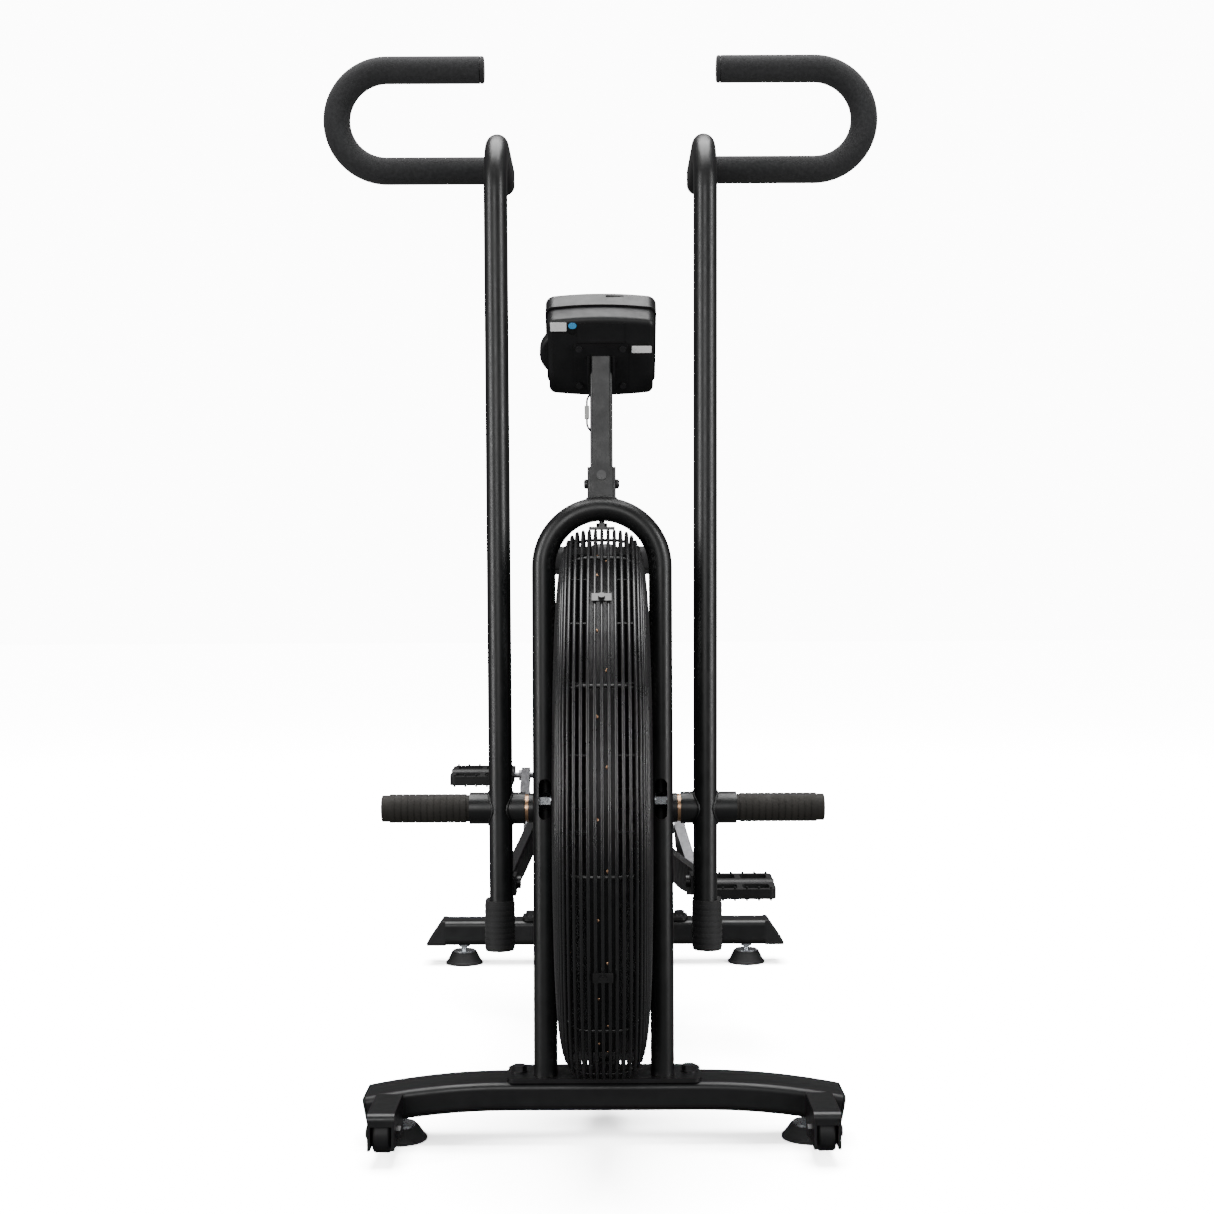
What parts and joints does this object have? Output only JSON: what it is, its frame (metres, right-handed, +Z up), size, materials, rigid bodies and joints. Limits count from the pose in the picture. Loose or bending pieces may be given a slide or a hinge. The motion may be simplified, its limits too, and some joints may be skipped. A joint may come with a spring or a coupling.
{
  "type": "air bike",
  "caption": "Upright fan-resistance exercise bike with swinging arm levers, foot pegs, chain-driven caged fan, adjustable saddle, console on a mast and levelling feet.",
  "frame": {"origin": "on the floor at the centre of the overall footprint", "axes": "+Z up, front (fan) at -Y, rider's right at -X"},
  "size_m": [0.741, 1.4347, 1.393],
  "materials": {
    "frame_black": "satin black powder coat",
    "plastic_black": "fine moulded texture",
    "plastic_gloss": "smooth moulded",
    "foam": "closed-cell foam grip",
    "rubber_dark": "moulded rubber",
    "zinc": "bright zinc plate",
    "steel": "machined steel",
    "crank_grey": "forged, silver-grey",
    "copper": "bronze washer",
    "wire_black": "satin black coated wire",
    "saddle_vinyl": "black vinyl over foam",
    "screen": "tinted display window",
    "bolt_black": "black oxide",
    "blade_grey": "dark coated sheet steel"
  },
  "bodies": {
    "frame": {"bearings": "steel", "cage_fixings": "wire_black", "cage_left": "wire_black", "cage_right": "wire_black", "cage_side_discs": "plastic_black", "centre_rail": "frame_black", "chain_case_inner": "plastic_black", "chain_case_outer": "plastic_black", "chains": "steel", "console_back": "plastic_black", "console_bracket": "frame_black", "console_front": "plastic_gloss", "console_lens": "screen", "console_screws": "bolt_black", "fan_axle": "zinc", "foot_pads": "rubber_dark", "foot_studs": "zinc", "front_stabiliser": "frame_black", "hoop": "frame_black", "mast": "frame_black", "mast_socket": "frame_black", "mounting_plates": "frame_black", "peg_sleeves": "rubber_dark", "peg_tubes": "frame_black", "rear_stabiliser": "frame_black", "seat_tube": "frame_black", "sensor_lead": "rubber_dark", "side_stays": "frame_black", "stabiliser_bolts": "bolt_black", "stabiliser_caps": "plastic_black", "thrust_washers": "copper", "wheel_brackets": "frame_black"},
    "crank": {"crank_axle": "steel", "crank_arms": "crank_grey", "chainring": "steel"},
    "pedal_left": {"pedal_left": "plastic_black"},
    "pedal_right": {"pedal_right": "plastic_black"},
    "middle_shaft": {"middle_shaft": "steel"},
    "fan": {"fan_hub": "blade_grey", "fan_paddles": "blade_grey"},
    "transport_wheel_left": {"transport_wheel_left": "plastic_black"},
    "transport_wheel_right": {"transport_wheel_right": "plastic_black"},
    "arm_left": {"arm_left": "frame_black", "grip_left": "foam", "arm_boot_left": "rubber_dark"},
    "arm_right": {"arm_right": "frame_black", "grip_right": "foam", "arm_boot_right": "rubber_dark"},
    "link_left": {"link_left": "frame_black"},
    "link_right": {"link_right": "frame_black"},
    "seat_post": {"seat_post": "steel", "seat_carriage": "frame_black"},
    "height_pin": {"height_pin": "plastic_black"},
    "saddle": {"saddle_base": "plastic_black", "saddle_pad": "saddle_vinyl"},
    "slider_knob": {"slider_knob": "plastic_black"},
    "button_1": {"console_button_1": "rubber_dark"},
    "button_2": {"console_button_2": "rubber_dark"},
    "button_3": {"console_button_3": "rubber_dark"},
    "button_4": {"console_button_4": "rubber_dark"}
  },
  "joints": [
    {"name": "crank_spin", "type": "hinge", "parent": "frame", "child": "crank", "pos_m": [0, 0.2385, 0.305], "axis": [1, 0, 0], "continuous": true},
    {"name": "middle_shaft_spin", "type": "hinge", "parent": "frame", "child": "middle_shaft", "pos_m": [0, 0.0485, 0.345], "axis": [1, 0, 0], "continuous": true},
    {"name": "fan_spin", "type": "hinge", "parent": "frame", "child": "fan", "pos_m": [0, -0.3815, 0.4175], "axis": [1, 0, 0], "continuous": true},
    {"name": "pedal_left_spin", "type": "hinge", "parent": "crank", "child": "pedal_left", "pos_m": [0.2, 0.08896, 0.23527], "axis": [1, 0, 0], "continuous": true},
    {"name": "pedal_right_spin", "type": "hinge", "parent": "crank", "child": "pedal_right", "pos_m": [-0.2, 0.38804, 0.37473], "axis": [1, 0, 0], "continuous": true},
    {"name": "transport_wheel_left_spin", "type": "hinge", "parent": "frame", "child": "transport_wheel_left", "pos_m": [0.261, -0.4785, 0.037], "axis": [1, 0, 0], "continuous": true},
    {"name": "transport_wheel_right_spin", "type": "hinge", "parent": "frame", "child": "transport_wheel_right", "pos_m": [-0.261, -0.4785, 0.037], "axis": [1, 0, 0], "continuous": true},
    {"name": "arm_left_swing", "type": "hinge", "parent": "frame", "child": "arm_left", "pos_m": [0.13, -0.3815, 0.408], "axis": [1, 0, 0], "range_deg": [-15, 15]},
    {"name": "arm_right_swing", "type": "hinge", "parent": "frame", "child": "arm_right", "pos_m": [-0.13, -0.3815, 0.408], "axis": [1, 0, 0], "range_deg": [-15, 15]},
    {"name": "link_left_pivot", "type": "hinge", "parent": "arm_left", "child": "link_left", "pos_m": [0.1203, -0.3335, 0.309], "axis": [1, 0, 0], "range_deg": [-15, 15]},
    {"name": "link_right_pivot", "type": "hinge", "parent": "arm_right", "child": "link_right", "pos_m": [-0.1203, -0.3335, 0.309], "axis": [1, 0, 0], "range_deg": [-15, 15]},
    {"name": "seat_height", "type": "slide", "parent": "frame", "child": "seat_post", "axis": [0, 0.2534, 0.9673], "range_m": [0, 0.12]},
    {"name": "height_pin_pull", "type": "slide", "parent": "frame", "child": "height_pin", "axis": [0, -0.9673, 0.2534], "range_m": [0, 0.01], "stiffness_N_per_m": 800},
    {"name": "seat_fore_aft", "type": "slide", "parent": "seat_post", "child": "saddle", "axis": [0, 1, 0], "range_m": [-0.03, 0.03]},
    {"name": "slider_knob_turn", "type": "hinge", "parent": "seat_post", "child": "slider_knob", "pos_m": [0.04, 0.33734, 0.69827], "axis": [1, 0, 0], "range_deg": [0, 180]},
    {"name": "button_1_press", "type": "slide", "parent": "frame", "child": "button_1", "axis": [0, -0.7071, -0.7071], "range_m": [0, 0.0015], "stiffness_N_per_m": 400},
    {"name": "button_2_press", "type": "slide", "parent": "frame", "child": "button_2", "axis": [0, -0.7071, -0.7071], "range_m": [0, 0.0015], "stiffness_N_per_m": 400},
    {"name": "button_3_press", "type": "slide", "parent": "frame", "child": "button_3", "axis": [0, -0.7071, -0.7071], "range_m": [0, 0.0015], "stiffness_N_per_m": 400},
    {"name": "button_4_press", "type": "slide", "parent": "frame", "child": "button_4", "axis": [0, -0.7071, -0.7071], "range_m": [0, 0.0015], "stiffness_N_per_m": 400}
  ],
  "couplings": [
    {"joint": "middle_shaft_spin", "follows": "crank_spin", "ratio": 3.3333},
    {"joint": "fan_spin", "follows": "crank_spin", "ratio": 8.3333},
    {"joint": "arm_right_swing", "follows": "arm_left_swing", "ratio": -1},
    {"joint": "link_left_pivot", "follows": "arm_left_swing", "ratio": -1},
    {"joint": "link_right_pivot", "follows": "arm_left_swing", "ratio": 1}
  ]
}
